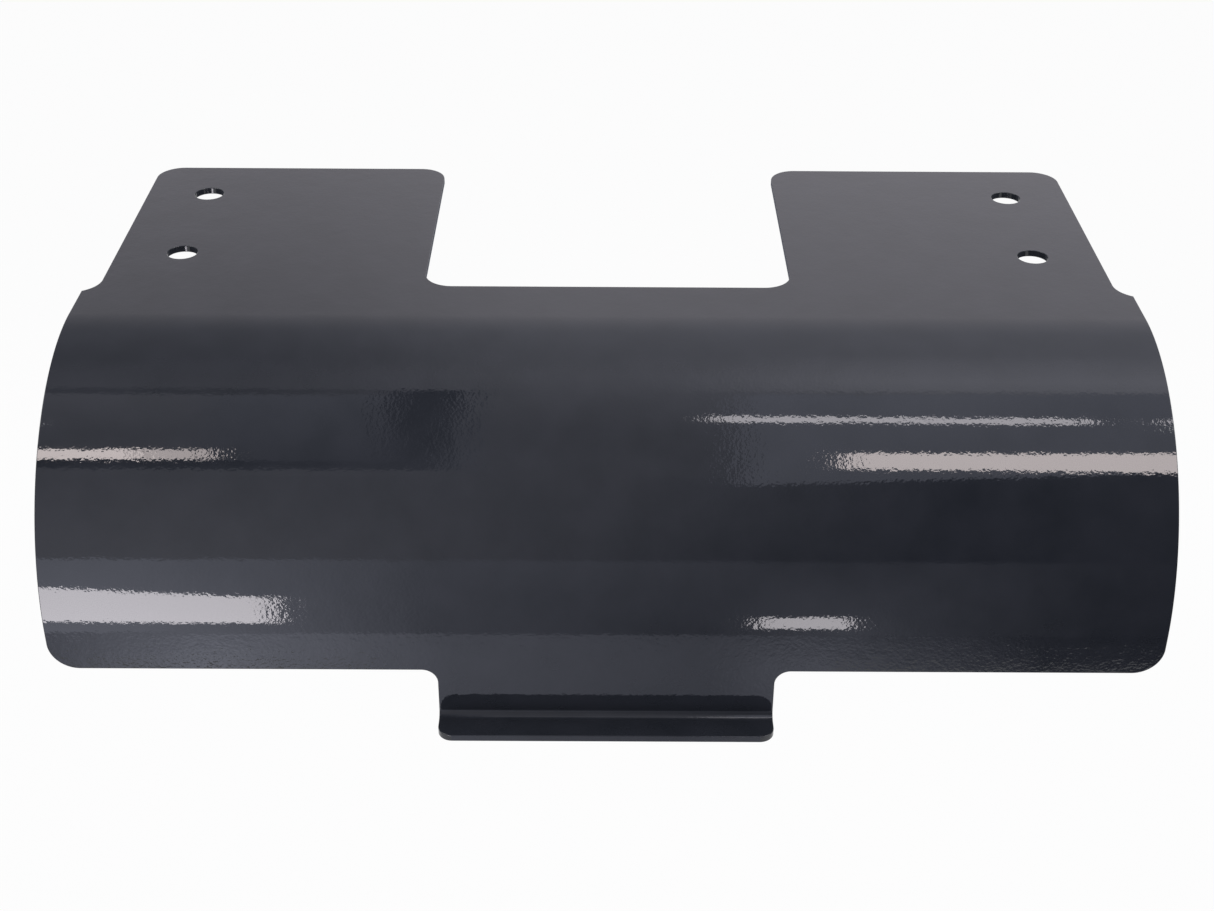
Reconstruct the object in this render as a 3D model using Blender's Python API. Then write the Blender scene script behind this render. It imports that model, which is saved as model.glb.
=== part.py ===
"""A formed steel panel: one laser-cut sheet with a rolled front, two bolt-on ears and a folded lip.

The sheet is drawn flat, cut along its bend lines and then bent, as the real one is.
Across the sheet is X. Along it, stations are measured on the outer face from where the roll begins:
positive stations run back over the ears, negative ones down the front to the lip.
The origin is the middle of the four bolt holes, on the underside of the ears. +Y points back and +Z up.
"""

import math

import bmesh
import bpy
from mathutils import Vector

MM = 0.001

# Sheet
SHEET_THICKNESS = 3.0 * MM

# Rolled front
PANEL_WIDTH = 450.0 * MM
ROLL_RADIUS = 95.0 * MM  # outer face
ROLL_ANGLE = math.radians(90.0)
STRIP_LENGTH = 17.5 * MM  # flat, from the end of the roll to the panel's lower edge

# Ears, with the notch between them
EAR_LENGTH = 158.0 * MM  # from the start of the roll to the back edge
EAR_INSET = 6.5 * MM  # how far each ear's outer edge lies inside the panel's edge
EAR_STEP = 21.5 * MM  # from the start of the roll to where the panel takes its full width
NOTCH_WIDTH = 158.5 * MM
BRIDGE_DEPTH = 28.0 * MM  # flat metal left between the roll and the notch

# Tab and lip
TAB_WIDTH = 137.0 * MM
TAB_LENGTH = 22.8 * MM  # from the panel's lower edge to the lip's upper face
LIP_LENGTH = 16.4 * MM  # from the back of the tab to the tip
LIP_ANGLE = math.radians(90.0)
LIP_BEND_RADIUS = 3.0 * MM  # inside the fold

# Corners
CORNER_RADIUS = 12.0 * MM  # ears, notch and the panel's lower corners
STEP_RADIUS = 12.0 * MM  # hollow between each ear and the panel's edge
TAB_ROOT_RADIUS = 6.5 * MM
LIP_CORNER_RADIUS = 6.0 * MM

# Bolt holes, two in each ear
HOLE_DIAMETER = 13.5 * MM
HOLE_PITCH = 65.5 * MM  # front hole to rear hole
HOLE_BACK_MARGIN = 32.0 * MM  # rear hole's centre to the ear's back edge
HOLE_SIDE_MARGIN = 29.0 * MM  # holes' centres to the ear's outer edge

# Facets
ARC_STEP = math.radians(7.5)  # round corners in the outline
HOLE_SIDES = 40
ROLL_FACETS = 30
LIP_FACETS = 8

# Finish
COATING_COLOUR = (0.014, 0.016, 0.020, 1.0)
COATING_ROUGHNESS = 0.05

MERGE_DISTANCE = 0.01 * MM
FLAT_ANGLE = math.radians(0.02)  # faces closer than this to one plane are joined
SHARP_ANGLE = math.radians(30.0)  # edges sharper than this stay crisp in shading

half_width = PANEL_WIDTH / 2
ear_edge = half_width - EAR_INSET
lower_edge = -(ROLL_RADIUS * ROLL_ANGLE + STRIP_LENGTH)
lip_face = lower_edge - TAB_LENGTH
fold_setback = LIP_BEND_RADIUS * math.tan(LIP_ANGLE / 2)
fold_start = lip_face + fold_setback
fold_end = fold_start - LIP_BEND_RADIUS * LIP_ANGLE
lip_flat = LIP_LENGTH - SHEET_THICKNESS - fold_setback
lip_tip = fold_end - lip_flat
rear_hole = EAR_LENGTH - HOLE_BACK_MARGIN
front_hole = rear_hole - HOLE_PITCH
hole_centre = (rear_hole + front_hole) / 2
hole_side = ear_edge - HOLE_SIDE_MARGIN


def clear_scene():
    for item in list(bpy.data.objects):
        bpy.data.objects.remove(item, do_unlink=True)


def arc(centre, radius, start, end):
    """Points on a circle from one angle to another, both ends included."""
    count = max(2, math.ceil(abs(end - start) / ARC_STEP))
    angles = [start + (end - start) * i / count for i in range(count + 1)]
    return [Vector((centre[0] + radius * math.cos(a), centre[1] + radius * math.sin(a))) for a in angles]


def ring(centre, radius):
    """Points of a whole circle."""
    turn = 2 * math.pi / HOLE_SIDES
    angles = [turn * i for i in range(HOLE_SIDES)]
    return [Vector((centre[0] + radius * math.cos(a), centre[1] + radius * math.sin(a))) for a in angles]


def right_half_outline():
    """The blank's edge on the +X side, from the middle of the notch to the middle of the lip's tip."""
    half_turn = math.pi
    quarter = math.pi / 2
    notch = NOTCH_WIDTH / 2
    tab = TAB_WIDTH / 2
    corner = CORNER_RADIUS
    step_turn = math.acos(max(0.0, 1 - EAR_INSET / STEP_RADIUS))
    step_rise = EAR_STEP + STEP_RADIUS * math.sin(step_turn)
    edge = []
    edge += arc((notch - corner, BRIDGE_DEPTH + corner), corner, -quarter, 0)
    edge += arc((notch + corner, EAR_LENGTH - corner), corner, half_turn, quarter)
    edge += arc((ear_edge - corner, EAR_LENGTH - corner), corner, quarter, 0)
    edge += arc((ear_edge + STEP_RADIUS, step_rise), STEP_RADIUS, half_turn, half_turn + step_turn)
    if EAR_INSET > STEP_RADIUS:
        edge.append(Vector((half_width, EAR_STEP)))
    edge += arc((half_width - corner, lower_edge + corner), corner, 0, -quarter)
    edge += arc((tab + TAB_ROOT_RADIUS, lower_edge - TAB_ROOT_RADIUS), TAB_ROOT_RADIUS, quarter, half_turn)
    edge += arc((tab - LIP_CORNER_RADIUS, lip_tip + LIP_CORNER_RADIUS), LIP_CORNER_RADIUS, 0, -quarter)
    return edge


def blank_outline():
    right = right_half_outline()
    left = [Vector((-point.x, point.y)) for point in reversed(right)]
    return right + left


def hole_outlines():
    for side in (-hole_side, hole_side):
        for station in (front_hole, rear_hole):
            yield ring((side, station), HOLE_DIAMETER / 2)


def add_loop(curve, points):
    spline = curve.splines.new("POLY")
    spline.points.add(len(points) - 1)
    for slot, point in zip(spline.points, points):
        slot.co = (point.x, point.y, 0.0, 1.0)
    spline.use_cyclic_u = True


def make_blank(collection):
    """The flat sheet as a mesh, its outer face up at the height of half the sheet."""
    curve = bpy.data.curves.new("blank_outline", "CURVE")
    curve.dimensions = "2D"
    curve.fill_mode = "BOTH"
    curve.extrude = SHEET_THICKNESS / 2
    add_loop(curve, blank_outline())
    for hole in hole_outlines():
        add_loop(curve, hole)
    drawn = bpy.data.objects.new("blank_outline", curve)
    collection.objects.link(drawn)
    evaluated = drawn.evaluated_get(bpy.context.evaluated_depsgraph_get())
    mesh = bpy.data.meshes.new_from_object(evaluated)
    bpy.data.objects.remove(drawn, do_unlink=True)
    bpy.data.curves.remove(curve)
    return mesh


def bend_stations():
    """Stations of every crease: the facets of the roll, then those of the lip's fold."""
    for i in range(ROLL_FACETS + 1):
        yield -ROLL_RADIUS * ROLL_ANGLE * i / ROLL_FACETS
    for i in range(LIP_FACETS + 1):
        yield fold_start + (fold_end - fold_start) * i / LIP_FACETS


def bent(station):
    """A station's place on the bent outer face, as Y and Z from the start of the roll, and its turn."""
    if station >= 0:
        return station, 0.0, 0.0
    run = -station
    turned = min(run / ROLL_RADIUS, ROLL_ANGLE)
    y = -ROLL_RADIUS * math.sin(turned)
    z = -ROLL_RADIUS * (1 - math.cos(turned))
    straight = min(run, -fold_start) - ROLL_RADIUS * turned
    y -= straight * math.cos(turned)
    z -= straight * math.sin(turned)
    if station >= fold_start:
        return y, z, turned
    folded = min((fold_start - station) / LIP_BEND_RADIUS, LIP_ANGLE)
    pivot_y = y - LIP_BEND_RADIUS * math.sin(turned)
    pivot_z = z + LIP_BEND_RADIUS * math.cos(turned)
    turned -= folded
    y = pivot_y + LIP_BEND_RADIUS * math.sin(turned)
    z = pivot_z - LIP_BEND_RADIUS * math.cos(turned)
    straight = max(0.0, fold_end - station)
    return y - straight * math.cos(turned), z - straight * math.sin(turned), turned


def bend_point(point):
    """A point of the flat blank, taken to its place on the formed panel."""
    y, z, turned = bent(point.y)
    depth = SHEET_THICKNESS / 2 - point.z
    y += depth * math.sin(turned)
    z -= depth * math.cos(turned)
    return Vector((point.x, y - hole_centre, z + SHEET_THICKNESS))


def form_panel(mesh):
    shape = bmesh.new()
    shape.from_mesh(mesh)
    bmesh.ops.remove_doubles(shape, verts=shape.verts, dist=MERGE_DISTANCE)
    for station in bend_stations():
        everything = shape.verts[:] + shape.edges[:] + shape.faces[:]
        bmesh.ops.bisect_plane(shape, geom=everything, plane_co=(0, station, 0), plane_no=(0, 1, 0))
    for vert in shape.verts:
        vert.co = bend_point(vert.co)
    bmesh.ops.dissolve_limit(shape, angle_limit=FLAT_ANGLE, verts=shape.verts, edges=shape.edges)
    bmesh.ops.triangulate(shape, faces=shape.faces)
    bmesh.ops.recalc_face_normals(shape, faces=shape.faces)
    shape.to_mesh(mesh)
    shape.free()


def coating_material():
    material = bpy.data.materials.new("gloss_powder_coat")
    material.use_nodes = True
    shader = material.node_tree.nodes["Principled BSDF"]
    shader.inputs["Base Color"].default_value = COATING_COLOUR
    shader.inputs["Roughness"].default_value = COATING_ROUGHNESS
    shader.inputs["Metallic"].default_value = 0.0
    return material


def main():
    clear_scene()
    collection = bpy.data.collections.new("formed_steel_panel")
    bpy.context.scene.collection.children.link(collection)
    mesh = make_blank(collection)
    mesh.name = "formed_panel"
    form_panel(mesh)
    mesh.materials.clear()
    mesh.materials.append(coating_material())
    mesh.shade_smooth()
    mesh.set_sharp_from_angle(angle=SHARP_ANGLE)
    panel = bpy.data.objects.new("formed_panel", mesh)
    collection.objects.link(panel)


main()
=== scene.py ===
"""The look of a formed steel panel in gloss dark powder coat, on a white studio floor.

The panel is drawn flat with rounded edges, cut finely along its bends and then bent, as its solid is.
Across the sheet is X. Along it, stations are measured on the outer face from where the roll begins:
positive stations run back over the ears, negative ones down the front to the lip.
"""

import math

import bmesh
import bpy
from mathutils import Matrix, Vector


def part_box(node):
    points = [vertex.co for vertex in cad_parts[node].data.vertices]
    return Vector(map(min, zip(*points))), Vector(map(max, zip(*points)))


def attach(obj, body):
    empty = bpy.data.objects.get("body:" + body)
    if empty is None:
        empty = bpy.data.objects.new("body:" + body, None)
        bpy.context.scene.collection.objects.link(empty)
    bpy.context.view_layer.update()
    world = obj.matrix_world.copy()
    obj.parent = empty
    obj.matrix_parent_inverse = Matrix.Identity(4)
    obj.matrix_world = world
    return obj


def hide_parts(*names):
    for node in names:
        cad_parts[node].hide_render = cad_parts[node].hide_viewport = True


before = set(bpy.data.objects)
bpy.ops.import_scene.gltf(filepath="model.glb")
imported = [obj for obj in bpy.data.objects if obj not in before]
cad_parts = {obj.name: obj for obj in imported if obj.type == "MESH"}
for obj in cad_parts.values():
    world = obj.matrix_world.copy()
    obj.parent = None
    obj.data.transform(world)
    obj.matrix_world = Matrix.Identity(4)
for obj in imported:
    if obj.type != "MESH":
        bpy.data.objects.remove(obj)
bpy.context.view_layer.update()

MM = 0.001
NODE = "formed_panel"

panel_low, panel_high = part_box(NODE)

# Panel, the same sizes as its solid has
SHEET_THICKNESS = 3.0 * MM
PANEL_WIDTH = panel_high.x - panel_low.x
ROLL_RADIUS = 95.0 * MM  # outer face
ROLL_ANGLE = math.radians(90.0)
STRIP_LENGTH = 17.5 * MM
EAR_LENGTH = 158.0 * MM
EAR_INSET = 6.5 * MM
EAR_STEP = 21.5 * MM
NOTCH_WIDTH = 158.5 * MM
BRIDGE_DEPTH = 28.0 * MM
TAB_WIDTH = 137.0 * MM
TAB_LENGTH = 22.8 * MM
LIP_LENGTH = 16.4 * MM
LIP_ANGLE = math.radians(90.0)
LIP_BEND_RADIUS = 3.0 * MM  # inside the fold
CORNER_RADIUS = 12.0 * MM
STEP_RADIUS = 12.0 * MM
TAB_ROOT_RADIUS = 6.5 * MM
LIP_CORNER_RADIUS = 6.0 * MM
HOLE_DIAMETER = 13.5 * MM
HOLE_PITCH = 65.5 * MM
HOLE_BACK_MARGIN = 32.0 * MM
HOLE_SIDE_MARGIN = 29.0 * MM

# Fineness of the mesh
EDGE_ROUNDING = 0.3 * MM  # the coating's soft edge along every cut
EDGE_STEPS = 3
ARC_STEP = math.radians(3.0)
HOLE_SIDES = 96
ROLL_FACETS = 120
LIP_FACETS = 24
MERGE_DISTANCE = 0.005 * MM

# Powder coat
COAT_DARK = (0.0117, 0.0136, 0.0178, 1.0)
COAT_LIGHT = (0.0155, 0.0174, 0.0226, 1.0)
MOTTLE_RANGE = (0.3, 0.7)  # share of the noise over which the coat goes from dark to light
MOTTLE_SCALE = 60.0  # noise cells in a metre, here and below
GLOSS_SCALE = 140.0
WAVE_SCALE = 170.0
PEEL_SCALE = 800.0
GLOSS_ROUGHNESS = (0.03, 0.055)
CUT_ROUGHNESS = 0.15  # on the cut edges
WAVE_DEPTH = 0.027 * MM
PEEL_DEPTH = 0.022 * MM
COAT_IOR = 1.5

# Camera: the picture is 1214 pixels wide and its middle is on the camera's axis
PICTURE_WIDTH = 1214
FOCAL_PIXELS = 1847.0
CAMERA_PLACE = Vector((-2.5, -782.6, 354.0)) * MM
CAMERA_PITCH = math.radians(31.295)  # downwards
CAMERA_YAW = math.radians(0.208)  # to the right
CAMERA_ROLL = math.radians(0.397)
SENSOR_WIDTH = 36.0  # in Blender's own millimetres
NEAR_CLIP = 10 * MM
FAR_CLIP = 100.0

# Studio, its lengths in metres
FLOOR_DROP = 700 * MM  # below the panel's lowest point
FLOOR_SIZE = 60.0
FLOOR_COLOUR = (0.6, 0.6, 0.6, 1.0)
FLOOR_GLOW = 0.95  # share of plain white in the floor as the camera and reflections see it
FLAG_SIDE = 1.0  # from the middle of the panel
FLAG_REACH = 0.8  # before and behind the origin
FLAG_ROWS = ((-0.45, 0.05), (0.2, 0.5))  # height and brightness above the dark foot
FLAG_FOOT = 0.03
BACK_FLAG_GAP = 60 * MM  # behind the ears
BACK_FLAG_DROP = 130 * MM  # below the ears
BACK_FLAG_MARGIN = 35 * MM  # past each side of the notch
BACK_FLAG_LEVEL = 0.18
CARD_STEPS = 8

# Lamps and boards that are placed by their mirror images: reaches in mm, turns on the roll in degrees
HIGH_LAMP_REACH = 900
LOW_LAMP_REACH = 620
OVER_REACH = 1500
UNDER_REACH = 1450
MIDDLE_REACH = 1550
FRONT_REACH = 1000
MIDDLE_FOOT = 70.5
FRONT_TOP = 70.0
FRONT_FOOT = 89.6
LOW_FOOT = 91.0
LAST_FOOT = 94.0

# Plain lamps, their places and sizes in metres
FILL_ASIDE = 1.0
FILL_FORWARD = 0.25
FILL_HEIGHT = 1.1
FILL_SIZE = (0.7, 0.7)
FILL_RADIANCE = 4.2
BACK_LAMP_PLACE = (0.0, 1.6, -0.1)
BACK_LAMP_SIZE = (2.4, 0.6)
BACK_LAMP_RADIANCE = 1.5

# Colours of the light, and the sky's parts by the sideways share of a direction
WHITE = (1.0, 1.0, 1.0)
WARM = (1.0, 0.885, 0.86)
COOL = (0.985, 0.935, 0.975)
CARD_TINT = (0.95, 0.98, 1.16)
LOW_SKY_TINT = (1.0, 0.965, 1.04)
HIGH_SKY_TINT = (0.98, 0.98, 1.10)
HIGH_SKY = 40  # degrees above the horizon behind
LEFT_TO_MIDDLE = (-0.2, 0.0)
MIDDLE_TO_RIGHT = (0.0, 0.17)
GRADED_TO_PLAIN = (0.45, 0.8)
HORIZON = (-0.02, 0.0)  # upward share of a direction
PLAIN_SKY = (0.8, 0.8, 0.8, 1.0)
BELOW_SKY = (0.95, 0.95, 0.95, 1.0)

half_width = PANEL_WIDTH / 2
ear_edge = half_width - EAR_INSET
lower_edge = -(ROLL_RADIUS * ROLL_ANGLE + STRIP_LENGTH)
lip_face = lower_edge - TAB_LENGTH
fold_setback = LIP_BEND_RADIUS * math.tan(LIP_ANGLE / 2)
fold_start = lip_face + fold_setback
fold_end = fold_start - LIP_BEND_RADIUS * LIP_ANGLE
lip_flat = LIP_LENGTH - SHEET_THICKNESS - fold_setback
lip_tip = fold_end - lip_flat
rear_hole = EAR_LENGTH - HOLE_BACK_MARGIN
front_hole = rear_hole - HOLE_PITCH
hole_side = ear_edge - HOLE_SIDE_MARGIN
half_sheet = SHEET_THICKNESS / 2
roll_start = panel_high.y - EAR_LENGTH
ear_top = panel_high.z


def arc(centre, radius, start, end):
    """Points on a circle from one angle to another, both ends included."""
    count = max(2, math.ceil(abs(end - start) / ARC_STEP))
    angles = [start + (end - start) * i / count for i in range(count + 1)]
    return [Vector((centre[0] + radius * math.cos(a), centre[1] + radius * math.sin(a))) for a in angles]


def ring(centre, radius):
    """Points of a whole circle."""
    turn = 2 * math.pi / HOLE_SIDES
    angles = [turn * i for i in range(HOLE_SIDES)]
    return [Vector((centre[0] + radius * math.cos(a), centre[1] + radius * math.sin(a))) for a in angles]


def right_half_outline():
    """The blank's edge on the +X side, from the middle of the notch to the middle of the lip's tip."""
    half_turn = math.pi
    quarter = math.pi / 2
    notch = NOTCH_WIDTH / 2
    tab = TAB_WIDTH / 2
    corner = CORNER_RADIUS
    step_turn = math.acos(1 - EAR_INSET / STEP_RADIUS)
    step_rise = EAR_STEP + STEP_RADIUS * math.sin(step_turn)
    edge = []
    edge += arc((notch - corner, BRIDGE_DEPTH + corner), corner, -quarter, 0)
    edge += arc((notch + corner, EAR_LENGTH - corner), corner, half_turn, quarter)
    edge += arc((ear_edge - corner, EAR_LENGTH - corner), corner, quarter, 0)
    edge += arc((ear_edge + STEP_RADIUS, step_rise), STEP_RADIUS, half_turn, half_turn + step_turn)
    edge += arc((half_width - corner, lower_edge + corner), corner, 0, -quarter)
    edge += arc((tab + TAB_ROOT_RADIUS, lower_edge - TAB_ROOT_RADIUS), TAB_ROOT_RADIUS, quarter, half_turn)
    edge += arc((tab - LIP_CORNER_RADIUS, lip_tip + LIP_CORNER_RADIUS), LIP_CORNER_RADIUS, 0, -quarter)
    return edge


def blank_outlines():
    """The blank's outer edge, then its four holes."""
    right = right_half_outline()
    yield right + [Vector((-point.x, point.y)) for point in reversed(right)]
    for side in (-hole_side, hole_side):
        for station in (front_hole, rear_hole):
            yield ring((side, station), HOLE_DIAMETER / 2)


def add_loop(curve, points):
    spline = curve.splines.new("POLY")
    spline.points.add(len(points) - 1)
    for place, point in zip(spline.points, points):
        place.co = (point.x, point.y, 0.0, 1.0)
    spline.use_cyclic_u = True


def blank_mesh():
    """The flat sheet with its cut edges rounded, its outer face up at the height of half the sheet."""
    curve = bpy.data.curves.new("panel_blank", "CURVE")
    curve.dimensions = "2D"
    curve.fill_mode = "BOTH"
    curve.offset = -EDGE_ROUNDING
    curve.extrude = half_sheet - EDGE_ROUNDING
    curve.bevel_depth = EDGE_ROUNDING
    curve.bevel_resolution = EDGE_STEPS
    for points in blank_outlines():
        add_loop(curve, points)
    drawn = bpy.data.objects.new("panel_blank", curve)
    bpy.context.scene.collection.objects.link(drawn)
    evaluated = drawn.evaluated_get(bpy.context.evaluated_depsgraph_get())
    mesh = bpy.data.meshes.new_from_object(evaluated)
    bpy.data.objects.remove(drawn, do_unlink=True)
    bpy.data.curves.remove(curve)
    return mesh


def bend_stations():
    """Stations of every crease: the facets of the roll, then those of the lip's fold."""
    for i in range(ROLL_FACETS + 1):
        yield -ROLL_RADIUS * ROLL_ANGLE * i / ROLL_FACETS
    for i in range(LIP_FACETS + 1):
        yield fold_start + (fold_end - fold_start) * i / LIP_FACETS


def bent(station):
    """A station's place on the bent outer face, as Y and Z from the start of the roll, and its turn."""
    if station >= 0:
        return station, 0.0, 0.0
    run = -station
    turned = min(run / ROLL_RADIUS, ROLL_ANGLE)
    y = -ROLL_RADIUS * math.sin(turned)
    z = -ROLL_RADIUS * (1 - math.cos(turned))
    straight = min(run, -fold_start) - ROLL_RADIUS * turned
    y -= straight * math.cos(turned)
    z -= straight * math.sin(turned)
    if station >= fold_start:
        return y, z, turned
    folded = min((fold_start - station) / LIP_BEND_RADIUS, LIP_ANGLE)
    pivot_y = y - LIP_BEND_RADIUS * math.sin(turned)
    pivot_z = z + LIP_BEND_RADIUS * math.cos(turned)
    turned -= folded
    y = pivot_y + LIP_BEND_RADIUS * math.sin(turned)
    z = pivot_z - LIP_BEND_RADIUS * math.cos(turned)
    straight = max(0.0, fold_end - station)
    return y - straight * math.cos(turned), z - straight * math.sin(turned), turned


def flat_normal(vert):
    """The blank's smooth normal at a vertex: across the faces, round the edges, out of the cut walls."""
    wall_height = half_sheet - EDGE_ROUNDING
    rise = (abs(vert.co.z) - wall_height) / EDGE_ROUNDING
    lean = math.asin(min(1.0, max(0.0, rise)))
    outward = Vector((vert.normal.x, vert.normal.y, 0.0)).normalized()
    upward = Vector((0.0, 0.0, math.copysign(1.0, vert.co.z)))
    return outward * math.cos(lean) + upward * math.sin(lean)


def bend(point, normal):
    """A point of the flat blank and its normal, taken to the formed panel in the row frame."""
    y, z, turned = bent(point.y)
    turn = Matrix.Rotation(turned, 3, "X")
    depth = turn @ Vector((0.0, 0.0, point.z - half_sheet))
    place = Vector((point.x, roll_start + y, ear_top + z)) + depth
    return place, turn @ normal


def make_panel():
    """The coated panel: the blank, cut along its bends and bent, in place of its solid."""
    mesh = blank_mesh()
    mesh.name = "coated_panel"
    shape = bmesh.new()
    shape.from_mesh(mesh)
    bmesh.ops.remove_doubles(shape, verts=shape.verts, dist=MERGE_DISTANCE)
    bmesh.ops.recalc_face_normals(shape, faces=shape.faces)
    for station in bend_stations():
        everything = shape.verts[:] + shape.edges[:] + shape.faces[:]
        bmesh.ops.bisect_plane(shape, geom=everything, plane_co=(0, station, 0), plane_no=(0, 1, 0))
    shape.normal_update()
    normals = []
    cut_edge = []
    for vert in shape.verts:
        cut_edge.append(float(abs(vert.co.z) < half_sheet - EDGE_ROUNDING / 2))
        vert.co, normal = bend(vert.co, flat_normal(vert))
        normals.append(normal)
    shape.to_mesh(mesh)
    shape.free()
    mesh.attributes.new("cut_edge", "FLOAT", "POINT").data.foreach_set("value", cut_edge)
    mesh.shade_smooth()
    mesh.normals_split_custom_set_from_vertices(normals)
    mesh.materials.clear()
    mesh.materials.append(powder_coat())
    panel = bpy.data.objects.new("coated_panel", mesh)
    bpy.context.scene.collection.objects.link(panel)
    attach(panel, "root")
    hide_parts(NODE)


def node(tree, kind, **values):
    """A new node, with its inputs set by name."""
    made = tree.nodes.new(kind)
    for name, value in values.items():
        made.inputs[name.replace("_", " ")].default_value = value
    return made


def noise(tree, coordinates, scale, detail):
    made = node(tree, "ShaderNodeTexNoise", Scale=scale, Detail=detail)
    tree.links.new(coordinates, made.inputs["Vector"])
    return made.outputs["Fac"]


def powder_coat():
    """Gloss dark blue-grey powder coat: a fine orange peel on a slow waviness, and a faint mottle."""
    material = bpy.data.materials.new("gloss_powder_coat")
    material.use_nodes = True
    tree = material.node_tree
    shader = tree.nodes["Principled BSDF"]
    place = tree.nodes.new("ShaderNodeTexCoord").outputs["Object"]

    mottle = node(tree, "ShaderNodeValToRGB")
    mottle.color_ramp.elements[0].color = COAT_DARK
    mottle.color_ramp.elements[1].color = COAT_LIGHT
    mottle.color_ramp.elements[0].position, mottle.color_ramp.elements[1].position = MOTTLE_RANGE
    tree.links.new(noise(tree, place, MOTTLE_SCALE, detail=4.0), mottle.inputs["Fac"])
    tree.links.new(mottle.outputs["Color"], shader.inputs["Base Color"])

    gloss = node(tree, "ShaderNodeMapRange", To_Min=GLOSS_ROUGHNESS[0], To_Max=GLOSS_ROUGHNESS[1])
    tree.links.new(noise(tree, place, GLOSS_SCALE, detail=3.0), gloss.inputs["Value"])
    cut = tree.nodes.new("ShaderNodeAttribute")
    cut.attribute_name = "cut_edge"
    matte = node(tree, "ShaderNodeMapRange", To_Max=CUT_ROUGHNESS)
    tree.links.new(cut.outputs["Fac"], matte.inputs["Value"])
    tree.links.new(gloss.outputs["Result"], matte.inputs["To Min"])
    tree.links.new(matte.outputs["Result"], shader.inputs["Roughness"])

    wave = node(tree, "ShaderNodeBump", Strength=1.0, Distance=WAVE_DEPTH)
    tree.links.new(noise(tree, place, WAVE_SCALE, detail=1.0), wave.inputs["Height"])
    peel = node(tree, "ShaderNodeBump", Strength=1.0, Distance=PEEL_DEPTH)
    tree.links.new(noise(tree, place, PEEL_SCALE, detail=1.0), peel.inputs["Height"])
    tree.links.new(wave.outputs["Normal"], peel.inputs["Normal"])
    tree.links.new(peel.outputs["Normal"], shader.inputs["Normal"])
    shader.inputs["IOR"].default_value = COAT_IOR
    return material


def camera_axes():
    """The camera's right, up and forward directions."""
    level = Matrix.Rotation(-CAMERA_YAW, 3, "Z") @ Matrix.Rotation(-CAMERA_PITCH, 3, "X")
    forward = level @ Vector((0, 1, 0))
    rolled = Matrix.Rotation(-CAMERA_ROLL, 3, forward) @ level
    return rolled @ Vector((1, 0, 0)), rolled @ Vector((0, 0, 1)), forward


def make_camera():
    data = bpy.data.cameras.new("camera")
    data.sensor_width = SENSOR_WIDTH
    data.lens = SENSOR_WIDTH * FOCAL_PIXELS / PICTURE_WIDTH
    data.clip_start = NEAR_CLIP
    data.clip_end = FAR_CLIP
    camera = bpy.data.objects.new("camera", data)
    bpy.context.scene.collection.objects.link(camera)
    right, up, forward = camera_axes()
    turn = Matrix((right, up, -forward)).transposed()
    camera.matrix_world = Matrix.Translation(CAMERA_PLACE) @ turn.to_4x4()
    bpy.context.scene.camera = camera


def mirrored(across, turned):
    """A point of the roll, and the direction in which the camera's sight line leaves it.

    The point is given by its distance across, in mm, and its turn, in degrees.
    """
    angle = math.radians(turned)
    normal = Vector((0.0, -math.sin(angle), math.cos(angle)))
    axis = Vector((across * MM, roll_start, ear_top - ROLL_RADIUS))
    point = axis + normal * ROLL_RADIUS
    return point, (point - CAMERA_PLACE).normalized().reflect(normal)


def softbox(name, left, right, reach, radiance, tint):
    """A lamp placed by its mirror image on the roll, as the camera sees it.

    Left and right are the image's two ends, each a distance across and an upper and a lower turn.
    Reach is how far the left end stands from the panel. The end that looks thinner stands further off.
    """
    ends = []
    for across, upper, lower in (left, right):
        distance = reach * (left[2] - left[1]) / (lower - upper)
        point, sight = mirrored(across, (upper + lower) / 2)
        ends.append(point + sight * distance * MM)
    centre = (ends[0] + ends[1]) / 2
    x_axis = (ends[1] - ends[0]).normalized()
    inner, middle = min(zip((left, right), ends), key=lambda end: abs(end[0][0]))
    over, over_sight = mirrored(inner[0], inner[1])
    under, under_sight = mirrored(inner[0], inner[2])
    distance = (middle - (over + under) / 2).length
    rise = over - under + (over_sight - under_sight) * distance
    both = over_sight + under_sight
    lean = -rise.dot(x_axis) / both.dot(x_axis)
    rise += both * max(-distance / 2, min(distance / 2, lean))
    rise -= x_axis * rise.dot(x_axis)
    y_axis = rise.normalized()
    z_axis = x_axis.cross(y_axis)
    turn = Matrix((x_axis, y_axis, z_axis)).transposed()
    add_lamp(name, centre, turn, ((ends[1] - ends[0]).length, rise.length), radiance, tint)


def add_lamp(name, place, turn, size, radiance, tint):
    data = bpy.data.lights.new(name, "AREA")
    data.shape = "RECTANGLE"
    data.size, data.size_y = size
    data.energy = radiance * math.pi * data.size * data.size_y
    data.color = tint
    lamp = bpy.data.objects.new(name, data)
    bpy.context.scene.collection.objects.link(lamp)
    lamp.matrix_world = Matrix.Translation(place) @ turn.to_4x4()


def fill_lamp(name, place, size, radiance):
    """A large plain lamp that faces the panel."""
    turn = Vector(place).to_track_quat("Z", "Y").to_matrix()
    add_lamp(name, Vector(place), turn, size, radiance, WHITE)


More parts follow.
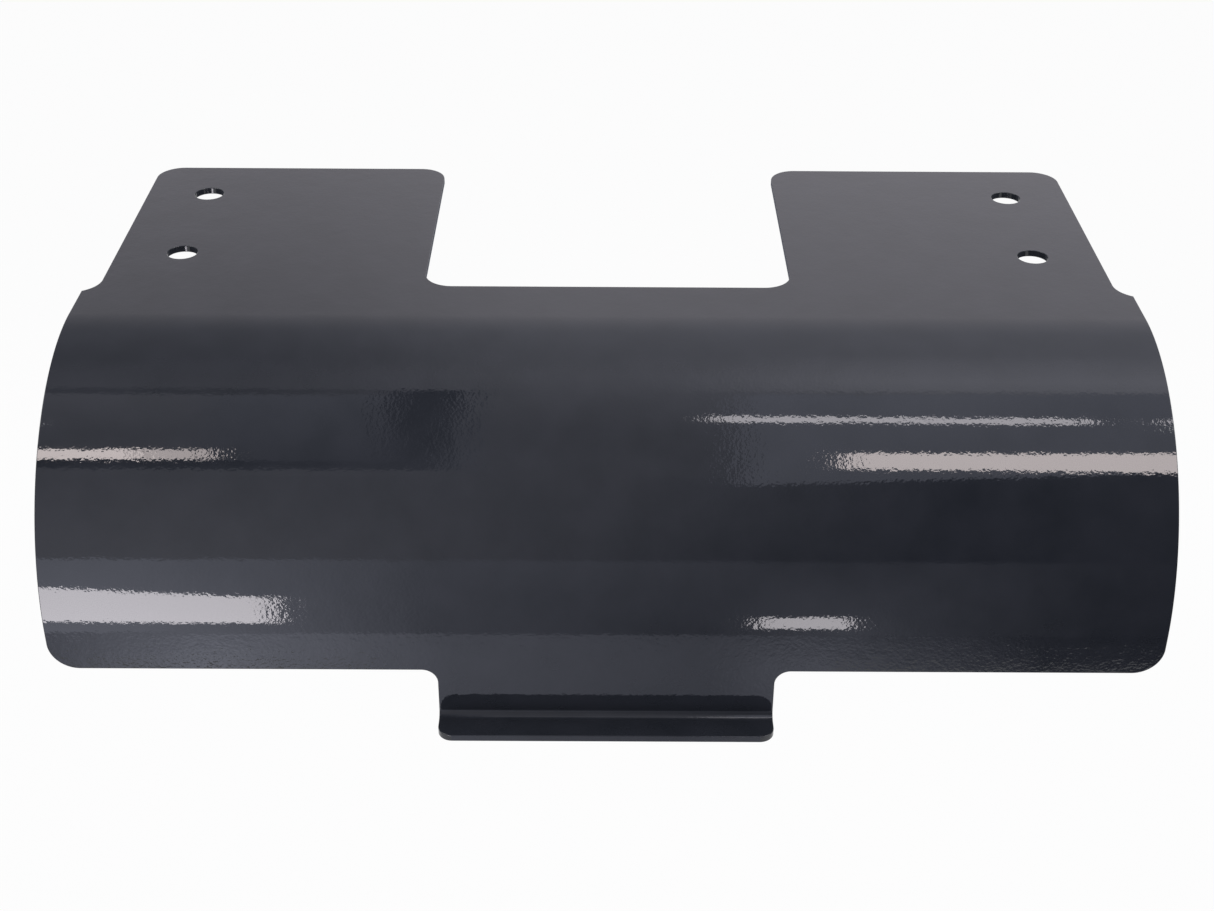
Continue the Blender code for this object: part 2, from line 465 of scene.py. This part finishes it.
def make_lamps():
    softbox("lamp_upper_left", (-275, 43.9, 46.3), (-186, 43.75, 46.15), HIGH_LAMP_REACH, 11.8, WARM)
    softbox("lamp_upper_left_end", (-186, 43.75, 46.15), (-156, 43.7, 46.1), HIGH_LAMP_REACH, 7.6, WARM)
    softbox("lamp_lower_left", (-250, 76.3, 86.3), (-132, 79.6, 86.6), LOW_LAMP_REACH, 9.8, COOL)
    softbox("lamp_upper_right", (41, 34.5, 36.05), (192, 34.9, 36.25), HIGH_LAMP_REACH, 6.8, COOL)
    softbox("lamp_far_right", (222, 34.8, 36.1), (280, 34.8, 36.1), HIGH_LAMP_REACH, 6.0, COOL)
    softbox("lamp_middle_right", (93.5, 43.8, 47.7), (275, 43.7, 48.5), HIGH_LAMP_REACH, 9.5, WARM)
    softbox("lamp_lower_right", (60.4, 84.5, 87.6), (97.2, 84.2, 87.5), LOW_LAMP_REACH, 7.6, COOL)
    for name, side in (("lamp_high_left", -FILL_ASIDE), ("lamp_high_right", FILL_ASIDE)):
        fill_lamp(name, (side, -FILL_FORWARD, FILL_HEIGHT), FILL_SIZE, FILL_RADIANCE)
    fill_lamp("lamp_back", BACK_LAMP_PLACE, BACK_LAMP_SIZE, BACK_LAMP_RADIANCE)


def card_material(name, tint):
    """Board that glows by its own level at each place."""
    material = bpy.data.materials.new(name)
    material.use_nodes = True
    tree = material.node_tree
    tree.nodes.remove(tree.nodes["Principled BSDF"])
    glow = node(tree, "ShaderNodeEmission", Color=(*tint, 1.0))
    level = tree.nodes.new("ShaderNodeAttribute")
    level.attribute_name = "level"
    tree.links.new(level.outputs["Fac"], glow.inputs["Strength"])
    tree.links.new(glow.outputs["Emission"], tree.nodes["Material Output"].inputs["Surface"])
    return material


def lerp(first, second, share):
    """Each value of one row, taken a share of the way to the same value of another."""
    return [a + (b - a) * share for a, b in zip(first, second)]


def band(upper, lower, columns):
    """A board's columns where its mirrored edges keep the same turns all along."""
    return [(across, upper, lower, over, under) for across, over, under in columns]


def card(name, material, reach, columns):
    """A board that shows only in reflections, placed by its mirror image as a lamp is.

    Each column is a distance across, the upper and lower turn, and the brightness at these.
    """
    grid = [columns[0]]
    for first, second in zip(columns, columns[1:]):
        grid += [lerp(first, second, i / CARD_STEPS) for i in range(1, CARD_STEPS + 1)]
    points = []
    levels = []
    for across, upper, lower, over, under in grid:
        for i in range(CARD_STEPS + 1):
            turned, level = lerp((upper, over), (lower, under), i / CARD_STEPS)
            point, sight = mirrored(across, turned)
            points.append(point + sight * reach * MM)
            levels.append(level)
    add_card(name, material, points, levels, CARD_STEPS + 1)


def flag(name, material, side):
    """A board that stands on the floor beside the panel, dark at the foot and grey at the top. It glows by
    these levels and shows only in the panel's reflections, as a painted reflection.
    """
    rows = ((panel_low.z - FLOOR_DROP, FLAG_FOOT), *FLAG_ROWS)
    points = [(side, y, height) for height, _ in rows for y in (-FLAG_REACH, FLAG_REACH)]
    levels = [level for _, level in rows for _ in range(2)]
    add_card(name, material, points, levels, 2)


def back_flag(name, material):
    """A dark board close behind the notch, which the notch's side walls mirror. It glows faintly and shows
    only in reflections, as a painted dark reflection in these walls.
    """
    across = NOTCH_WIDTH / 2 + BACK_FLAG_MARGIN
    y = panel_high.y + BACK_FLAG_GAP
    points = [(x, y, ear_top - drop) for drop in (BACK_FLAG_DROP, 0.0) for x in (-across, across)]
    add_card(name, material, points, [BACK_FLAG_LEVEL] * len(points), 2)


def add_card(name, material, points, levels, count):
    """A board from rows of points, so many in each row, that glows by the level at each point."""
    starts = [i for i in range(len(points) - count) if (i + 1) % count]
    faces = [(i, i + 1, i + count + 1, i + count) for i in starts]
    mesh = bpy.data.meshes.new(name)
    mesh.from_pydata(points, [], faces)
    attribute = mesh.attributes.new("level", "FLOAT", "POINT")
    attribute.data.foreach_set("value", levels)
    mesh.materials.append(material)
    board = bpy.data.objects.new(name, mesh)
    bpy.context.scene.collection.objects.link(board)
    # The board shows to reflections only: it paints reflections into the panel's gloss and casts no shadow
    # or diffuse light.
    board.visible_camera = False
    board.visible_diffuse = False
    board.visible_transmission = False
    board.visible_shadow = False


def make_cards():
    material = card_material("studio_card", CARD_TINT)
    grey = card_material("grey_card", HIGH_SKY_TINT)
    card("card_over_right", material, OVER_REACH, (
        (51, 28.6, 51.8, 1.0, 0.85),
        (136, 28.2, 50.1, 1.1, 0.75),
        (196, 28.0, 48.9, 0.9, 0.8),
        (290, 27.6, 47.0, 0.85, 0.8),
    ))
    card("card_over_left", material, OVER_REACH, (
        (-160, 29.4, 48.5, 0.64, 0.3),
        (-92, 29.4, 48.5, 0.57, 0.22),
        (-82, 27.8, 48.5, 0.05, 0.2),
        (-69, 27.8, 48.5, 0.05, 0.2),
        (-60, 27.8, 48.5, 0.05, 0.5),
        (-53, 27.8, 48.5, 0.65, 0.55),
    ))
    card("card_under_left", material, UNDER_REACH, (
        (-280, 46.5, 48.6, 0.05, 0.2),
        (-150, 46.4, 48.4, 0.05, 0.2),
        (-80, 46.8, 48.2, 0.2, 0.25),
    ))
    card("card_middle", grey, MIDDLE_REACH, (
        (-290, 50.0, MIDDLE_FOOT, 0.56, 0.86),
        (-155, 50.0, MIDDLE_FOOT, 0.56, 0.84),
        (0, 50.0, MIDDLE_FOOT, 0.45, 0.3),
        (51, 50.0, MIDDLE_FOOT, 0.3, 0.13),
        (136, 49.0, MIDDLE_FOOT, 0.0, 0.0),
        (290, 46.5, MIDDLE_FOOT, 0.08, 0.0),
    ))
    card("card_front", material, FRONT_REACH, band(FRONT_TOP, FRONT_FOOT, (
        (-280, 1.5, 1.9),
        (-190, 1.52, 1.9),
        (-122, 1.12, 1.25),
        (-70, 0.68, 0.58),
        (37, 0.38, 0.2),
        (96, 0.18, 0.7),
        (136, 0.24, 0.28),
        (196, 0.05, 0.05),
        (280, 0.0, 0.0),
    )))
    card("card_low", material, FRONT_REACH, band(FRONT_FOOT, LOW_FOOT, (
        (-240, 0.95, 0.5),
        (-160, 1.4, 2.9),
        (-122, 1.65, 1.75),
        (-65, 0.98, 0.98),
        (40, 0.57, 0.64),
        (78, 0.48, 1.3),
        (175, 0.0, 0.1),
        (240, 0.0, 0.0),
    )))
    card("card_foot", material, FRONT_REACH, band(LOW_FOOT, LAST_FOOT, (
        (-90, 1.25, 0.9),
        (-60, 0.95, 0.7),
        (40, 0.64, 0.43),
        (90, 1.1, 0.8),
    )))
    flag("flag_left", material, -FLAG_SIDE)
    flag("flag_right", material, FLAG_SIDE)
    back_flag("flag_behind", material)


def sky_ramp(tree, turn, stops):
    """Brightness of the studio by angle, from the horizon behind over the top to the horizon in front."""
    ramp = tree.nodes.new("ShaderNodeValToRGB")
    elements = ramp.color_ramp.elements
    while len(elements) < len(stops):
        elements.new(0.5)
    for element, (angle, level) in zip(elements, stops):
        element.position = angle / 180
        tint = HIGH_SKY_TINT if angle > HIGH_SKY else LOW_SKY_TINT
        element.color = (*(level * part for part in tint), 1.0)
    tree.links.new(turn, ramp.inputs["Fac"])
    return ramp.outputs["Color"]


def blend(tree, share, first, second):
    """From one colour to another by a share. The Mix node has its colours in sockets 6, 7 and 2."""
    mix = tree.nodes.new("ShaderNodeMix")
    mix.data_type = "RGBA"
    tree.links.new(share, mix.inputs["Factor"])
    for value, socket in ((first, mix.inputs[6]), (second, mix.inputs[7])):
        if isinstance(value, tuple):
            socket.default_value = value
        else:
            tree.links.new(value, socket)
    return mix.outputs[2]


def share_between(tree, value, low, high):
    """A smooth step from 0 at low to 1 at high."""
    step = node(tree, "ShaderNodeMapRange", From_Min=low, From_Max=high)
    step.interpolation_type = "SMOOTHSTEP"
    tree.links.new(value, step.inputs["Value"])
    return step.outputs["Result"]


def make_world():
    """A soft studio: pale behind and in front, dimmer overhead and brighter over the right."""
    world = bpy.data.worlds.new("studio")
    world.use_nodes = True
    bpy.context.scene.world = world
    tree = world.node_tree
    backdrop = tree.nodes["Background"]
    split = tree.nodes.new("ShaderNodeSeparateXYZ")
    tree.links.new(tree.nodes.new("ShaderNodeTexCoord").outputs["Generated"], split.inputs["Vector"])
    over = tree.nodes.new("ShaderNodeMath")
    over.operation = "ARCTAN2"
    tree.links.new(split.outputs["Z"], over.inputs[0])
    tree.links.new(split.outputs["Y"], over.inputs[1])
    turn = node(tree, "ShaderNodeMapRange", From_Max=math.pi)
    tree.links.new(over.outputs["Value"], turn.inputs["Value"])
    turn = turn.outputs["Result"]

    left = sky_ramp(tree, turn, (
        (21, 0.82), (27, 0.60), (43, 0.39), (65, 0.36), (84.3, 0.52), (85.1, 0.28), (87.6, 0.28),
        (88.3, 0.68), (110, 0.46), (134, 0.61), (140, 0.7)))
    middle = sky_ramp(tree, turn, (
        (21, 0.95), (27, 0.88), (43, 0.75), (62, 0.80), (76, 0.90), (90, 0.68), (107, 0.47), (134, 0.45),
        (140, 0.7)))
    right = sky_ramp(tree, turn, (
        (21, 1.0), (27, 0.88), (43, 0.80), (60, 0.95), (68, 1.25), (78, 1.6), (84, 1.45), (86, 0.8),
        (130, 0.2), (134, 0.17), (140, 0.7)))
    half = blend(tree, share_between(tree, split.outputs["X"], *LEFT_TO_MIDDLE), left, middle)
    sides = blend(tree, share_between(tree, split.outputs["X"], *MIDDLE_TO_RIGHT), half, right)
    aside = tree.nodes.new("ShaderNodeMath")
    aside.operation = "ABSOLUTE"
    tree.links.new(split.outputs["X"], aside.inputs[0])
    wide = blend(tree, share_between(tree, aside.outputs["Value"], *GRADED_TO_PLAIN), sides, PLAIN_SKY)
    whole = blend(tree, share_between(tree, split.outputs["Z"], *HORIZON), BELOW_SKY, wide)
    tree.links.new(whole, backdrop.inputs["Color"])
    backdrop.inputs["Strength"].default_value = 1.0


def floor_material():
    """White floor: it glows for the camera and in reflections, and keeps a share of light and shadow."""
    material = bpy.data.materials.new("studio_floor")
    material.use_nodes = True
    tree = material.node_tree
    tree.nodes.remove(tree.nodes["Principled BSDF"])
    output = tree.nodes["Material Output"]
    paint = node(tree, "ShaderNodeBsdfDiffuse", Color=FLOOR_COLOUR)
    glow = node(tree, "ShaderNodeEmission", Color=(*WHITE, 1.0), Strength=1.0)
    ray = tree.nodes.new("ShaderNodeLightPath")
    seen = ray.outputs["Is Camera Ray"]
    for name in ("Is Glossy Ray", "Is Transmission Ray"):
        either = tree.nodes.new("ShaderNodeMath")
        either.operation = "MAXIMUM"
        tree.links.new(seen, either.inputs[0])
        tree.links.new(ray.outputs[name], either.inputs[1])
        seen = either.outputs["Value"]
    share = tree.nodes.new("ShaderNodeMath")
    share.operation = "MULTIPLY"
    share.inputs[1].default_value = FLOOR_GLOW
    tree.links.new(seen, share.inputs[0])
    mix = tree.nodes.new("ShaderNodeMixShader")
    tree.links.new(share.outputs["Value"], mix.inputs["Fac"])
    tree.links.new(paint.outputs["BSDF"], mix.inputs[1])
    tree.links.new(glow.outputs["Emission"], mix.inputs[2])
    tree.links.new(mix.outputs["Shader"], output.inputs["Surface"])
    return material


def make_floor():
    mesh = bpy.data.meshes.new("floor")
    shape = bmesh.new()
    bmesh.ops.create_grid(shape, x_segments=1, y_segments=1, size=FLOOR_SIZE / 2)
    shape.to_mesh(mesh)
    shape.free()
    mesh.materials.append(floor_material())
    floor = bpy.data.objects.new("floor", mesh)
    bpy.context.scene.collection.objects.link(floor)
    floor.location.z = panel_low.z - FLOOR_DROP


make_camera()
make_panel()
make_floor()
make_lamps()
make_cards()
make_world()
bpy.context.scene.view_settings.view_transform = "Standard"
